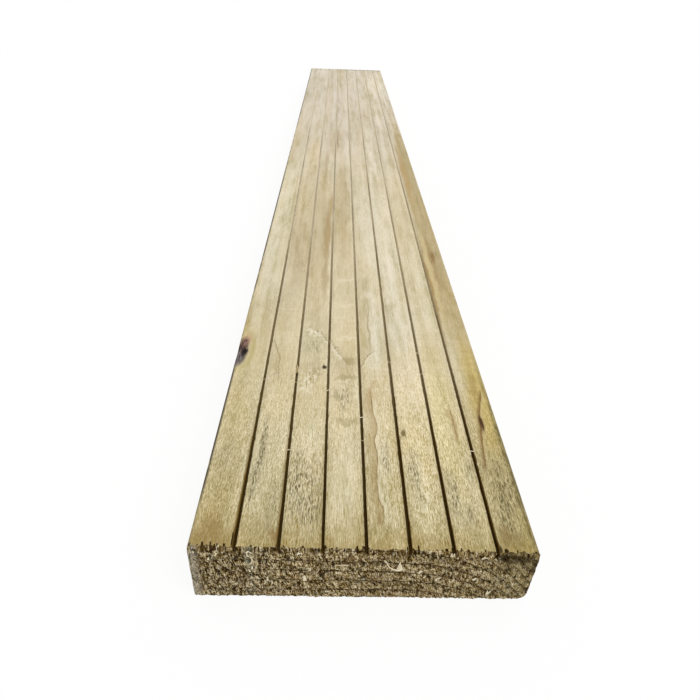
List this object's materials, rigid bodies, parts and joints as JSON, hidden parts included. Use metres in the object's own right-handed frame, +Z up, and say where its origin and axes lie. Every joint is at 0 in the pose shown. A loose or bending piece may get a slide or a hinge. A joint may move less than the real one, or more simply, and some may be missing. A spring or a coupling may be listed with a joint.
{
  "type": "decking board",
  "caption": "Grooved softwood decking board with eased long edges, sawn ends and narrow drainage grooves along its tread.",
  "frame": {"origin": "middle of the underside, where the board rests on its joists", "axes": "+Y along the board's length, +X across its width, +Z up from the underside to the grooved tread"},
  "size_m": [0.145, 1.2, 0.033],
  "materials": {
    "treated_softwood": "matte"
  },
  "bodies": {
    "root": {"decking_board": "treated_softwood"}
  },
  "joints": []
}
